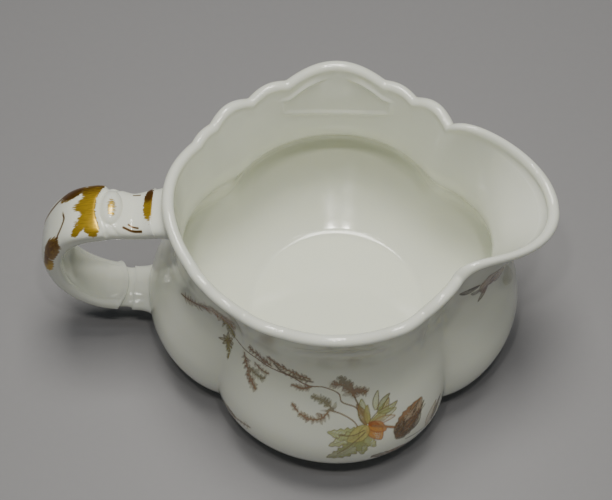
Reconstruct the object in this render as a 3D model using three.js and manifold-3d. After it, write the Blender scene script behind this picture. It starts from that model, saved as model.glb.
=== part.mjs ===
// Porcelain cream jug: a slip-cast quatrefoil belly, a waisted neck with a scalloped rim and a
// broad pouring lip, a low foot ring, and a cast scroll handle luted on with slip.
// Millimetres, +Z up. The spout points to +X and the handle to -X, and XZ is the mirror plane.
// All radii are measured from the axis of the foot; the finished group is then shifted along X so
// that its origin is the middle of the footprint, on the table.

import * as THREE from 'three';
import { ParametricGeometry } from 'three/addons/geometries/ParametricGeometry.js';
import { mergeVertices } from 'three/addons/utils/BufferGeometryUtils.js';
import Module from 'manifold-3d';

// ---------------------------------------------------------------- driving dimensions

const WALL = 2.6;                 // wall of the cast body
const GAP = 0.3;                  // clearance between pieces that touch
const FOOT_RADIUS = 30;           // outer edge of the foot ring
const FOOT_WIDTH = 4.6;
const FOOT_HEIGHT = 2.6;
const FLOOR_BOTTOM = FOOT_HEIGHT + GAP;
const FLOOR_TOP = 5.5;            // inside floor
const FLOOR_RADIUS = 27.5;        // flat inside floor, ending in a crisp ring
const BOWL_SLOPE = 0.5;           // how steeply the inside leaves that ring
const BOWL_KNEE = 1.6;            // how far inside the wall the bowl turns upwards
const BELLY_HEIGHT = 18.5;        // widest part of the belly
const NECK_HEIGHT = 50;           // narrowest part of the neck
const RIM_ROLL = 1.7;             // radius of the rounded rim edge

// Angles are in degrees from the spout; the other half is its mirror image.
const SIDE_LOBE = 90;
const SPOUT_GROOVE = { belly: 47.5, neck: 39.5 };    // it leans towards the spout as it rises
const HANDLE_GROOVE = { belly: 136.5, neck: 136.5 };

// Horizontal sections of the outside, from the foot up to the neck. Each gives the radius at the
// crests of the three lobes and at the two grooves between them.
const SECTIONS = [
  { height: 3.3, spout: 34.0, spoutGroove: 33.4, side: 34.0, handleGroove: 33.4, handle: 34.4 },
  { height: 6.8, spout: 44.8, spoutGroove: 40.6, side: 45.4, handleGroove: 41.4, handle: 46.2 },
  { height: 12, spout: 52.6, spoutGroove: 45.4, side: 53.6, handleGroove: 47.0, handle: 54.6 },
  { height: BELLY_HEIGHT, spout: 55.2, spoutGroove: 46.8, side: 56.3, handleGroove: 48.6, handle: 57.3 },
  { height: 25.5, spout: 54.6, spoutGroove: 46.2, side: 55.2, handleGroove: 48.0, handle: 56.4 },
  { height: 34, spout: 51.8, spoutGroove: 43.6, side: 50.4, handleGroove: 45.6, handle: 52.8 },
  { height: 42, spout: 48.6, spoutGroove: 40.4, side: 44.0, handleGroove: 42.4, handle: 48.8 },
  { height: NECK_HEIGHT, spout: 47.6, spoutGroove: 38.4, side: 41.8, handleGroove: 40.6, handle: 47.4 },
];
const LOBE_FULLNESS = 0.62;       // under 1 gives broad round lobes with narrow grooves
const GROOVE_SOFTNESS = { belly: 0.12, neck: 0.5 };  // rounds the bottom of each groove

// The rim is a row of scallops that meet in notches. Each entry is one scallop: where it ends, the
// outer radius and the height of the rolled edge's centre at that notch, and how far the scallop
// bulges out and rises between its notches.
const SPOUT_TIP = { radius: 61.8, height: 66.8 };
const SPOUT_SHOULDER = 4.6;       // rise of the two sides of the spout above the line to its tip
const SCALLOPS = [
  { end: 37.5, radius: 41.9, height: 71.0, bulge: 0, rise: 0 },
  { end: 57, radius: 42.5, height: 69.7, bulge: 0.6, rise: 2.4 },
  { end: 71, radius: 43.6, height: 70.4, bulge: 0.6, rise: 0.6 },
  { end: 110, radius: 43.9, height: 70.2, bulge: 1.7, rise: 3.8 },
  { end: 126, radius: 44.2, height: 69.0, bulge: 0.6, rise: 1.1 },
  { end: 144, radius: 45.4, height: 69.4, bulge: 0.6, rise: 2.1 },
  { end: 154, radius: 46.2, height: 69.7, bulge: 0.2, rise: 0.5 },
  { end: 206, radius: 46.2, height: 69.7, bulge: 2.4, rise: 3.9 },
];

// Centre line of the handle in the mirror plane, from the neck over and down to the belly, with
// the half width across and the half thickness of the strap at each station.
const HANDLE_STATIONS = [
  { x: -50.8, z: 65.2, width: 7.6, thick: 3.6, dish: 0 },
  { x: -54.0, z: 64.0, width: 7.2, thick: 3.3, dish: 0 },
  { x: -57.5, z: 63.4, width: 6.9, thick: 3.2, dish: 0 },
  { x: -62.5, z: 64.6, width: 7.5, thick: 3.5, dish: 0 },
  { x: -67.5, z: 64.8, width: 8.2, thick: 3.9, dish: 0 },
  { x: -73.3, z: 62.8, width: 8.2, thick: 4.0, dish: 0 },
  { x: -78.4, z: 58.0, width: 8.1, thick: 3.9, dish: 0.1 },
  { x: -81.5, z: 50.8, width: 8.0, thick: 3.8, dish: 0.3 },
  { x: -82.1, z: 42.6, width: 8.0, thick: 3.6, dish: 0.4 },
  { x: -80.4, z: 34.2, width: 8.0, thick: 3.4, dish: 0.5 },
  { x: -76.4, z: 27.2, width: 8.0, thick: 3.2, dish: 0.5 },
  { x: -71.0, z: 22.6, width: 7.9, thick: 3.2, dish: 0.4 },
  { x: -66.2, z: 20.8, width: 7.6, thick: 3.3, dish: 0.1 },
  { x: -63.4, z: 19.9, width: 7.3, thick: 2.7, dish: 0 },
  { x: -60.6, z: 19.2, width: 7.3, thick: 2.7, dish: 0 },
];
const BOSS = { x: -62.6, z: 67.0, length: 6.6, width: 11.4, height: 6.0 };
const LUTE_FLARE = 1.6;           // how far the slip fillets spread against the body
const LUTE_REACH = 4.5;           // length of the fillets before they are trimmed to the body

const BODY_COLUMNS = 96;
const FOOT_COLUMNS = 64;
const OUTSIDE_ROWS = 18;
const INSIDE_ROWS = 9;
const BOWL_ROWS = 4;
const HANDLE_ROWS_PER_STATION = 2;
const STRAP_SIDES = 16;

const PORCELAIN = { color: 0xe6e5da, roughness: 0.12, metalness: 0 };
const FOOT_PORCELAIN = { color: 0xdedbcf, roughness: 0.35, metalness: 0 };

const wasm = await Module();
wasm.setup();

// ---------------------------------------------------------------- solids

function toSolid(geometry) {
  const bare = geometry.clone();
  bare.deleteAttribute('normal');
  bare.deleteAttribute('uv');
  const merged = mergeVertices(bare, 1e-5);
  const solid = new wasm.Mesh({
    numProp: 3,
    vertProperties: new Float32Array(merged.attributes.position.array),
    triVerts: new Uint32Array(merged.index.array),
  });
  return new wasm.Manifold(solid);
}

function toGeometry(solid) {
  const { vertProperties, triVerts } = solid.getMesh();
  const geometry = new THREE.BufferGeometry();
  geometry.setAttribute('position', new THREE.BufferAttribute(new Float32Array(vertProperties), 3));
  geometry.setIndex(new THREE.BufferAttribute(new Uint32Array(triVerts), 1));
  geometry.computeVertexNormals();
  return geometry;
}

function piece(name, geometry, finish) {
  const mesh = new THREE.Mesh(geometry, new THREE.MeshStandardMaterial(finish));
  mesh.name = name;
  return mesh;
}

// ---------------------------------------------------------------- body surface

// Degrees from the spout, folded onto the half between the spout (0) and the handle (180).
function foldedAngle(theta) {
  const degrees = THREE.MathUtils.radToDeg(theta);
  return degrees <= 180 ? degrees : 360 - degrees;
}

// Radius of a lobed section: a round crest that falls to a groove.
function lobedRadius(section, degrees) {
  const up = THREE.MathUtils.smoothstep(section.height, BELLY_HEIGHT, NECK_HEIGHT);
  const between = ({ belly, neck }) => THREE.MathUtils.lerp(belly, neck, up);
  const stops = [
    { at: 0, radius: section.spout },
    { at: between(SPOUT_GROOVE), radius: section.spoutGroove },
    { at: SIDE_LOBE, radius: section.side },
    { at: between(HANDLE_GROOVE), radius: section.handleGroove },
    { at: 180, radius: section.handle },
  ];
  const next = Math.max(1, stops.findIndex((stop) => degrees <= stop.at));
  const share = (degrees - stops[next - 1].at) / (stops[next].at - stops[next - 1].at);
  const crestFirst = next % 2 === 1;
  const fromCrest = crestFirst ? share : 1 - share;
  const crest = crestFirst ? stops[next - 1].radius : stops[next].radius;
  const groove = crestFirst ? stops[next].radius : stops[next - 1].radius;
  const softness = between(GROOVE_SOFTNESS);
  const rounded = Math.hypot(Math.cos(fromCrest * Math.PI / 2), softness) - softness;
  const fullness = rounded / (Math.hypot(1, softness) - softness);
  return groove + (crest - groove) * fullness ** LOBE_FULLNESS;
}

// Outer radius of the rim, and height of the centre of its rolled edge.
function rimEdge(degrees) {
  const index = SCALLOPS.findIndex((scallop) => degrees <= scallop.end);
  const scallop = SCALLOPS[index];
  if (index === 0) {
    const share = 1 - degrees / scallop.end;
    const towardTip = Math.sin(share * Math.PI / 2) ** 1.6;
    const shoulder = Math.sin(Math.PI * Math.sqrt(share));
    return {
      radius: THREE.MathUtils.lerp(scallop.radius, SPOUT_TIP.radius, towardTip),
      height: THREE.MathUtils.lerp(scallop.height, SPOUT_TIP.height, share)
        + SPOUT_SHOULDER * shoulder * shoulder,
    };
  }
  const start = SCALLOPS[index - 1];
  const share = (degrees - start.end) / (scallop.end - start.end);
  const arc = Math.sin(share * Math.PI);
  return {
    radius: THREE.MathUtils.lerp(start.radius, scallop.radius, share) + scallop.bulge * arc,
    height: THREE.MathUtils.lerp(start.height, scallop.height, share) + scallop.rise * arc,
  };
}

// One vertical line of the outside surface, from the foot up to just under the rim roll.
function outerLine(degrees, grow = 0) {
  const line = SECTIONS.map((section) => (
    new THREE.Vector3(lobedRadius(section, degrees) + grow, 0, section.height)
  ));
  const neck = line[line.length - 1].x;
  const rim = rimEdge(degrees);
  for (const share of [0.3, 0.56, 0.8]) {
    const flare = share ** 1.5;
    const radius = THREE.MathUtils.lerp(neck, rim.radius + grow, flare) - 0.6 * share;
    line.push(new THREE.Vector3(radius, 0, THREE.MathUtils.lerp(NECK_HEIGHT, rim.height, share)));
  }
  return new THREE.CatmullRomCurve3(line).getPoints(OUTSIDE_ROWS);
}

// The closed outline of the body at one angle: under the floor, up the outside, over the rolled
// rim, down the inside and across the floor.
function bodyOutline(degrees) {
  const outside = outerLine(degrees);
  const rim = rimEdge(degrees);
  const inside = outside
    .filter((point) => point.z > BELLY_HEIGHT + 2)
    .map((point) => new THREE.Vector3(point.x - WALL, 0, point.z))
    .reverse();
  const roll = [-30, 20, 65, 115, 160, 205].map((turn) => {
    const angle = THREE.MathUtils.degToRad(turn);
    return new THREE.Vector3(
      rim.radius - RIM_ROLL + RIM_ROLL * Math.cos(angle),
      0,
      rim.height + RIM_ROLL * Math.sin(angle),
    );
  });
  return { outside, roll, inside };
}

// The inside below the belly: from the wall in a round knee down to the ring about the floor.
function bowlCurve(top) {
  const kneeRadius = top.x - BOWL_KNEE;
  const knee = new THREE.Vector3(kneeRadius, 0, FLOOR_TOP + (kneeRadius - FLOOR_RADIUS) * BOWL_SLOPE);
  const ring = new THREE.Vector3(FLOOR_RADIUS, 0, FLOOR_TOP);
  return new THREE.QuadraticBezierCurve3(top, knee, ring).getPoints(BOWL_ROWS).slice(1);
}

function bodyColumn(degrees) {
  const { outside, roll, inside } = bodyOutline(degrees);
  const wall = new THREE.CatmullRomCurve3(inside).getPoints(INSIDE_ROWS);
  return [
    new THREE.Vector3(0, 0, FLOOR_BOTTOM),
    new THREE.Vector3(FOOT_RADIUS + 1, 0, FLOOR_BOTTOM),
    ...outside,
    ...roll,
    ...wall,
    ...bowlCurve(wall[INSIDE_ROWS]),
    new THREE.Vector3(0, 0, FLOOR_TOP),
  ];
}

// A solid of revolution whose outline may change with the angle.
function turned(columnAt, columns, rows) {
  const cache = new Map();
  return new ParametricGeometry((u, v, target) => {
    const theta = (u % 1) * 2 * Math.PI;
    const degrees = foldedAngle(theta);
    if (!cache.has(degrees)) cache.set(degrees, columnAt(degrees));
    const point = cache.get(degrees)[Math.round(v * rows)];
    target.set(point.x * Math.cos(theta), point.x * Math.sin(theta), point.z);
  }, columns, rows);
}

function bodyGeometry() {
  const rows = bodyColumn(0).length - 1;
  return turned(bodyColumn, BODY_COLUMNS, rows);
}

// The outside of the body as a plain solid, grown by the clearance, that trims what touches it.
function bodyTrimmer() {
  const columnAt = (degrees) => {
    const line = outerLine(degrees, GAP);
    const rim = rimEdge(degrees);
    const edge = new THREE.Vector3(rim.radius + GAP, 0, rim.height);
    const lid = new THREE.Vector3(0, 0, rim.height + RIM_ROLL);
    return [new THREE.Vector3(0, 0, FLOOR_BOTTOM), ...line, edge, lid];
  };
  const rows = columnAt(0).length - 1;
  return toSolid(turned(columnAt, BODY_COLUMNS, rows));
}

// ---------------------------------------------------------------- foot ring

function footGeometry() {
  const inner = FOOT_RADIUS - FOOT_WIDTH;
  const outline = [
    [inner + 0.5, 0],
    [FOOT_RADIUS - 0.7, 0],
    [FOOT_RADIUS - 0.1, 0.5],
    [FOOT_RADIUS, FOOT_HEIGHT],
    [inner, FOOT_HEIGHT],
    [inner, 0.6],
    [inner + 0.5, 0],
  ].map(([radius, height]) => new THREE.Vector2(radius, height));
  const ring = new THREE.LatheGeometry(outline, FOOT_COLUMNS);
  return ring.rotateX(Math.PI / 2);
}

// ---------------------------------------------------------------- handle and its joints

function centreLine(stations) {
  return new THREE.CatmullRomCurve3(stations.map(({ x, z }) => new THREE.Vector3(x, 0, z)));
}

// A strap swept along stations in the mirror plane. Its section is a rounded rectangle whose inner
// face can be dished.
function strapGeometry(stations, rowsPerStation) {
  const centre = centreLine(stations);
  const sizes = new THREE.CatmullRomCurve3(stations.map((s) => new THREE.Vector3(s.width, s.thick, s.dish)));
  const steps = (stations.length - 1) * rowsPerStation;
  const rows = steps + 2;
  const squareness = 0.72;
  return new ParametricGeometry((u, v, target) => {
    const row = Math.round(v * rows);
    const along = Math.min(Math.max(row - 1, 0), steps) / steps;
    const capped = row === 0 || row === rows;
    const middle = centre.getPoint(along);
    const size = sizes.getPoint(along);
    const tangent = centre.getTangent(along);
    const turn = (u % 1) * 2 * Math.PI;
    const side = Math.sign(Math.cos(turn)) * Math.abs(Math.cos(turn)) ** squareness;
    const depth = Math.sign(Math.sin(turn)) * Math.abs(Math.sin(turn)) ** squareness;
    const hollow = depth > 0 ? 1 - size.z * (1 - side * side) : 1;
    const across = capped ? 0 : size.x * side;
    const inward = capped ? 0 : size.y * depth * hollow;
    target.set(middle.x + tangent.z * inward * -1, across, middle.z + tangent.x * inward);
  }, STRAP_SIDES, rows);
}

function handleGeometry() {
  const strap = toSolid(strapGeometry(HANDLE_STATIONS, HANDLE_ROWS_PER_STATION));
  const boss = new THREE.SphereGeometry(0.5, 20, 14);
  boss.scale(BOSS.length, BOSS.width, BOSS.height);
  boss.translate(BOSS.x, 0, BOSS.z);
  return toGeometry(strap.add(toSolid(boss)));
}

// A slip fillet: it continues the end of the strap, spreads, and is trimmed to the body.
function luteGeometry(end, direction, trimmer) {
  const stations = [0, 0.3, 0.65, 1].map((share) => ({
    x: end.x + direction.x * (GAP + share * LUTE_REACH),
    z: end.z + direction.z * (GAP + share * LUTE_REACH),
    width: end.width + LUTE_FLARE * share ** 2,
    thick: end.thick + LUTE_FLARE * share ** 2,
    dish: 0,
  }));
  return toGeometry(toSolid(strapGeometry(stations, 2)).subtract(trimmer));
}

// ---------------------------------------------------------------- assembly

const trimmer = bodyTrimmer();
const handleLine = centreLine(HANDLE_STATIONS);
const upperEnd = HANDLE_STATIONS[0];
const lowerEnd = HANDLE_STATIONS[HANDLE_STATIONS.length - 1];

const jug = new THREE.Group();
jug.add(
  piece('jug_body', bodyGeometry(), PORCELAIN),
  piece('foot_ring', footGeometry(), FOOT_PORCELAIN),
  piece('handle', handleGeometry(), PORCELAIN),
  piece('upper_luting_joint', luteGeometry(upperEnd, handleLine.getTangent(0).negate(), trimmer), PORCELAIN),
  piece('lower_luting_joint', luteGeometry(lowerEnd, handleLine.getTangent(1), trimmer), PORCELAIN),
);

const extent = new THREE.Box3().setFromObject(jug);
jug.position.x = -(extent.min.x + extent.max.x) / 2;

export default jug;
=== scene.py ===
import math

import bpy
import numpy as np
from mathutils import Matrix, Vector


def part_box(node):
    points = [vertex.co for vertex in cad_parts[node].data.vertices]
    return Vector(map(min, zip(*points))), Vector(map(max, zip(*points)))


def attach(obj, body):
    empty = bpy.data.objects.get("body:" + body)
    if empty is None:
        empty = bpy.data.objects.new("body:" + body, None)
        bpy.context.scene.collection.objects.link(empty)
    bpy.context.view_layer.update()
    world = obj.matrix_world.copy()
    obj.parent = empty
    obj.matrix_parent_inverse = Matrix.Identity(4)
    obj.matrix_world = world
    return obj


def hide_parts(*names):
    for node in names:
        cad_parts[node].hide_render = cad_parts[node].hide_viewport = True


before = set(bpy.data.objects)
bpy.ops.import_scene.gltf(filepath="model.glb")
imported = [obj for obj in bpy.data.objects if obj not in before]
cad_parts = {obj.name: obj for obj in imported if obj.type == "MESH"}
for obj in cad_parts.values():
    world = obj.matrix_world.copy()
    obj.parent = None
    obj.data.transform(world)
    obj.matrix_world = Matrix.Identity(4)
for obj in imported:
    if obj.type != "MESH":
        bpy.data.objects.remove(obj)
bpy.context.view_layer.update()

# A glazed porcelain cream jug. Shapes are worked out in millimetres from the axis of the foot, with
# the spout towards +X, and placed in the frame by place(). Angles round the jug are in degrees from
# the spout, and the body's half towards the camera, at -Y, mirrors the half away from it.

MM = 0.001
FOOT_LOW, FOOT_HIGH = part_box("foot_ring")
FOOT_AXIS_X = (FOOT_LOW.x + FOOT_HIGH.x) / 2


def place(points):
    """Millimetres from the foot's axis to metres in the frame."""
    moved = np.asarray(points, float) * MM
    moved[..., 0] += FOOT_AXIS_X
    return moved


# ---- camera

CAMERA_TARGET = (-9.1, 0.0, 43.6)
CAMERA_AZIMUTH = 1.28
CAMERA_ELEVATION = 61.4
CAMERA_ROLL = 1.17
CAMERA_DISTANCE = 439.2
CAMERA_LENS = 88.2


def make_camera():
    azimuth, elevation = math.radians(CAMERA_AZIMUTH), math.radians(CAMERA_ELEVATION)
    back = Vector((
        math.sin(azimuth) * math.cos(elevation),
        -math.cos(azimuth) * math.cos(elevation),
        math.sin(elevation),
    ))
    data = bpy.data.cameras.new("camera")
    data.lens = CAMERA_LENS
    camera = bpy.data.objects.new("camera", data)
    bpy.context.scene.collection.objects.link(camera)
    turn = back.to_track_quat("Z", "Y").to_matrix().to_4x4()
    roll = Matrix.Rotation(math.radians(-CAMERA_ROLL), 4, "Z")
    target = Vector(place(CAMERA_TARGET).tolist())
    camera.matrix_world = Matrix.Translation(target + back * CAMERA_DISTANCE * MM) @ turn @ roll
    bpy.context.scene.camera = camera


# ---- mesh helpers

def make_piece(name, points, faces, material, slot, *nodes):
    """A smooth-shaded piece from points in millimetres, riding on the jug."""
    mesh = bpy.data.meshes.new(name)
    mesh.from_pydata(place(points).tolist(), [], faces)
    mesh.validate()
    mesh.shade_smooth()
    mesh.materials.append(material)
    piece = bpy.data.objects.new(name, mesh)
    bpy.context.scene.collection.objects.link(piece)
    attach(piece, "root")
    if nodes:
        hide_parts(*nodes)
    return piece


def add_attribute(piece, name, values, kind="FLOAT", field="value"):
    attribute = piece.data.attributes.new(name, kind, "POINT")
    attribute.data.foreach_set(field, np.asarray(values, np.float32).ravel())


def grid_faces(rows, columns, wrap=True):
    """Quads of a grid of rows by columns, closed round the columns when it wraps."""
    faces = []
    for row in range(rows - 1):
        for column in range(columns if wrap else columns - 1):
            after = (column + 1) % columns
            low, high = row * columns, (row + 1) * columns
            faces.append((low + column, low + after, high + after, high + column))
    return faces


def tube_faces(rows, columns):
    """Quads of rows round a tube, and a face that closes each of its ends."""
    faces = grid_faces(rows, columns)
    last = (rows - 1) * columns
    faces.append(tuple(range(columns))[::-1])
    faces.append(tuple(range(last, last + columns)))
    return faces


def smoothstep(value, low, high):
    share = np.clip((value - low) / (high - low), 0, 1)
    return share * share * (3 - 2 * share)


def catmull_rom(keys, count):
    """count points on centripetal Catmull-Rom curves through keys[k], each an array of points."""
    keys = np.asarray(keys, float)
    ends = [2 * keys[0] - keys[1]], [2 * keys[-1] - keys[-2]]
    padded = np.concatenate([ends[0], keys, ends[1]])
    steps = np.sqrt(np.maximum(np.linalg.norm(np.diff(padded, axis=0), axis=-1), 1e-6))
    result = []
    for t in np.linspace(0, len(keys) - 1, count):
        segment = min(int(t), len(keys) - 2)
        before, start, end, after = padded[segment:segment + 4]
        d0, d1, d2 = (step[..., None] for step in steps[segment:segment + 3])
        leave = ((start - before) / d0 - (end - before) / (d0 + d1) + (end - start) / d1) * d1
        arrive = ((end - start) / d1 - (after - start) / (d1 + d2) + (after - end) / d2) * d1
        w = t - segment
        result.append(
            (2 * w**3 - 3 * w**2 + 1) * start + (w**3 - 2 * w**2 + w) * leave
            + (3 * w**2 - 2 * w**3) * end + (w**3 - w**2) * arrive
        )
    return np.array(result)


def distance_along(points):
    """Distance to each point of a line, or of lines side by side, from its first point."""
    steps = np.linalg.norm(np.diff(points, axis=0), axis=-1)
    return np.concatenate([np.zeros_like(steps[:1]), np.cumsum(steps, axis=0)])


def turned(radius, turn, height, face=1):
    """Points at an angle round the foot's axis; face -1 mirrors them to the camera's side."""
    return np.stack([radius * np.cos(turn), face * radius * np.sin(turn), height], -1)


def radius_at(heights, lines):
    """Radius at which each line of (radius, height) reaches its own one of the heights."""
    return np.array([
        np.interp(height, lines[:, column, 1], lines[:, column, 0])
        for column, height in enumerate(heights)
    ])


# ---- body shape

WALL = 2.6
FOOT_RADIUS = 30.0
FLOOR_BOTTOM = 2.7
FLOOR_TOP = 5.5
FLOOR_RADIUS = 27.5
BOWL_SLOPE = 0.5                  # how steeply the inside leaves the ring round the floor
BOWL_KNEE = 1.6
RING_FILLET = 1.3
BELLY_HEIGHT = 18.5
NECK_HEIGHT = 50.0
RIM_ROLL = 1.7
ROLL_TURN = (-50, 203)            # degrees that the rolled edge turns through
FLOOR_MIDDLE = 0.4                # radius of the small face that closes the middle of the floor

SIDE_LOBE = 90.0
SPOUT_GROOVE = (47.5, 39.5)       # degrees at the belly and at the neck
HANDLE_GROOVE = (136.5, 136.5)
GROOVE_SOFTNESS = (0.12, 0.5)
LOBE_FULLNESS = 0.62

# height, then radius at the spout lobe, spout groove, side lobe, handle groove and handle lobe
SECTIONS = (
    (3.3, 34.0, 33.4, 34.0, 33.4, 34.4),
    (6.8, 44.8, 40.6, 45.4, 41.4, 46.2),
    (12.0, 52.6, 45.4, 53.6, 47.0, 54.6),
    (BELLY_HEIGHT, 55.2, 46.8, 56.3, 48.6, 57.3),
    (25.5, 54.6, 46.2, 55.2, 48.0, 56.4),
    (34.0, 51.8, 43.6, 50.4, 45.6, 52.8),
    (42.0, 48.6, 40.4, 44.0, 42.4, 48.8),
    (NECK_HEIGHT, 47.6, 38.4, 41.8, 40.6, 47.4),
)

SPOUT_TIP_RADIUS = 61.8
SPOUT_TIP_HEIGHT = 66.8
SPOUT_SHOULDER = 4.6
SPOUT_POINT = 1.6                 # how narrowly the lip runs out to its tip
FLARE_SHARES = (0.3, 0.56, 0.8, 0.94)   # where its outline is set, from the neck up to the rim
FLARE_POWER = 1.5                 # how late the neck turns outwards, up to the rim
FLARE_TUCK = 0.7                  # how far the neck draws in under the rolled edge

# where each scallop of the rim ends, radius and height there, and its bulge and rise before that
SCALLOPS = (
    (37.5, 41.9, 71.0, 0.0, 0.0),
    (57.0, 42.5, 69.7, 0.6, 2.4),
    (71.0, 43.6, 70.4, 0.6, 0.6),
    (110.0, 43.9, 70.2, 1.7, 3.8),
    (126.0, 44.2, 69.0, 0.6, 1.1),
    (144.0, 45.4, 69.4, 0.6, 2.1),
    (154.0, 46.2, 69.7, 0.2, 0.5),
    (206.0, 46.2, 69.7, 2.4, 3.9),
)

BODY_COLUMNS = 384
OUTSIDE_ROWS = 84
INSIDE_ROWS = 126
ROLL_ROWS = 14
BOWL_ROWS = 20

# the moulded panel inside each side of the neck: half width in degrees, the height of the middle of
# its lower line, the rise of that line to the corners, its drop from the rim, and the bead along its edges
PANEL_HALF = 22.0
PANEL_BASE = 57.0
PANEL_RISE = 4.0
PANEL_TOP = 2.2
LINE_HEIGHT = 0.6
LINE_WIDTH = 0.75
SOFT_INSIDE = 9.0                 # degrees over which the inside of each groove is rounded

# outside, the same panels end in upright corners, and a shallow groove runs under the rim
PANEL_CORNERS = (54.5, 129.5)
CORNER_HEIGHT = 0.5
GROOVE_DEPTH = 0.4


def lerp(start, end, share):
    return start + (end - start) * share


def lobed_radius(section, degrees):
    """Radius of one lobed section at each angle: round crests that fall to grooves."""
    height, spout, groove_a, side, groove_b, handle = section
    up = float(smoothstep(height, BELLY_HEIGHT, NECK_HEIGHT))
    softness = lerp(*GROOVE_SOFTNESS, up)
    stops = (
        (0.0, spout),
        (lerp(*SPOUT_GROOVE, up), groove_a),
        (SIDE_LOBE, side),
        (lerp(*HANDLE_GROOVE, up), groove_b),
        (180.0, handle),
    )
    radius = np.zeros_like(degrees)
    for index in range(4):
        (start, first), (end, second) = stops[index:index + 2]
        inside = (degrees >= start) & (degrees <= end)
        share = (degrees[inside] - start) / (end - start)
        crest, groove = (first, second) if index % 2 == 0 else (second, first)
        from_crest = share if index % 2 == 0 else 1 - share
        rounded = np.hypot(np.cos(from_crest * math.pi / 2), softness) - softness
        fullness = rounded / (math.hypot(1, softness) - softness)
        radius[inside] = groove + (crest - groove) * fullness**LOBE_FULLNESS
    return radius


def rim_edge(degrees):
    """Outer radius of the rim, and height of the centre of its rolled edge, at each angle."""
    radius, height = np.zeros_like(degrees), np.zeros_like(degrees)
    start = (0.0, 0.0, 0.0)
    for end, end_radius, end_height, bulge, rise in SCALLOPS:
        inside = (degrees >= start[0]) & (degrees <= end)
        share = (degrees[inside] - start[0]) / (end - start[0])
        if start[0] == 0:
            share = 1 - share
            toward_tip = np.sin(share * math.pi / 2)**SPOUT_POINT
            shoulder = np.sin(math.pi * np.sqrt(share))**2
            radius[inside] = lerp(end_radius, SPOUT_TIP_RADIUS, toward_tip)
            height[inside] = lerp(end_height, SPOUT_TIP_HEIGHT, share) + SPOUT_SHOULDER * shoulder
        else:
            arc = np.sin(share * math.pi)
            radius[inside] = lerp(start[1], end_radius, share) + bulge * arc
            height[inside] = lerp(start[2], end_height, share) + rise * arc
        start = (end, end_radius, end_height)
    return radius, height


def outer_lines(degrees, count):
    """The outside surface: count rows of (radius, height) for each angle, from the foot upwards."""
    keys = [
        np.stack([lobed_radius(section, degrees), np.full_like(degrees, section[0])], -1)
        for section in SECTIONS
    ]
    rim_radius, rim_height = rim_edge(degrees)
    neck_radius = keys[-1][:, 0]
    for share in FLARE_SHARES:
        radius = lerp(neck_radius, rim_radius, share**FLARE_POWER) - FLARE_TUCK * share
        keys.append(np.stack([radius, lerp(NECK_HEIGHT, rim_height, share)], -1))
    return catmull_rom(keys, count)


def ridge(distance, width):
    return np.exp(-(distance / width)**2)


def panel_relief(degrees, height):
    """How far the wall is raised inwards along the lines of the moulded panel beside the neck."""
    across = (degrees - SIDE_LOBE) / PANEL_HALF
    rim_height = rim_edge(degrees)[1]
    lower = PANEL_BASE + PANEL_RISE * across**2
    upper = rim_height - PANEL_TOP - 1.8 * across**2
    ends = smoothstep(np.abs(across), 1.2, 0.9)
    corners = smoothstep(np.abs(across), 0.1, 0.35)
    side_line = ridge(np.abs(across) - 1.05, 0.05)
    between = smoothstep(height, lower - 1, lower + 1) * smoothstep(height, upper + 1, upper - 1)
    lines = np.maximum(ridge(height - lower, LINE_WIDTH), corners * ridge(height - upper, LINE_WIDTH))
    return LINE_HEIGHT * np.maximum(lines * ends, 0.6 * side_line * between)


def neck_relief(degrees, height):
    """How far the outside of the neck stands out, along the corners and the edge of its panels."""
    inside = smoothstep(height, 45, 50) * smoothstep(height, 66, 61)
    corners = ridge(degrees - PANEL_CORNERS[0], 1.6) + ridge(degrees - PANEL_CORNERS[1], 1.6)
    across = (degrees - SIDE_LOBE) / PANEL_HALF
    ends = smoothstep(np.abs(across), 0.95, 0.45)
    upper = rim_edge(degrees)[1] - 9.0
    groove = ridge(height - upper, 1.5) - 0.4 * ridge(height - upper + 4.4, 2.4)
    return CORNER_HEIGHT * corners * inside - GROOVE_DEPTH * groove * ends


def soften(radius, degrees):
    """Rounds the inside of the grooves, where the casting slip has pooled."""
    order = np.argsort(degrees, kind="stable")
    mirrored = np.concatenate([-degrees[order][::-1], degrees[order], 360 - degrees[order][::-1]])
    values = np.concatenate([radius[:, order[::-1]], radius[:, order], radius[:, order[::-1]]], 1)
    spread = np.arange(-SOFT_INSIDE, SOFT_INSIDE + 1, 1.5)
    weights = np.cos(spread / SOFT_INSIDE * math.pi / 2)**2
    result = np.zeros_like(radius)
    for offset, weight in zip(spread, weights):
        for row in range(len(radius)):
            result[row] += weight * np.interp(degrees + offset, mirrored, values[row])
    return result / weights.sum()


def level_ring(radius, height, like):
    """One row of the outline that is round and level, with a point for each angle in like."""
    return np.stack([np.full_like(like, radius), np.full_like(like, height)], -1)


def rolled_rim(degrees):
    """Rows over the rim, from the outside to the inside."""
    radius, height = rim_edge(degrees)
    return np.array([
        np.stack([
            radius - RIM_ROLL + RIM_ROLL * math.cos(turn),
            height + RIM_ROLL * math.sin(turn),
        ], -1)
        for turn in np.radians(np.linspace(*ROLL_TURN, ROLL_ROWS))
    ])


def inner_wall(walls, degrees):
    """Rows down the inside of the neck and belly, one wall's thickness inside the outer rows."""
    lowest = int(np.argmax(walls[:, 0, 1] > BELLY_HEIGHT + 2))
    keys = walls[lowest::4][::-1].copy()
    keys[..., 0] = soften(keys[..., 0] - WALL, degrees)
    rows = catmull_rom(keys, INSIDE_ROWS)
    for row in rows:
        row[:, 0] -= panel_relief(degrees, row[:, 1])
    return rows


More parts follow.
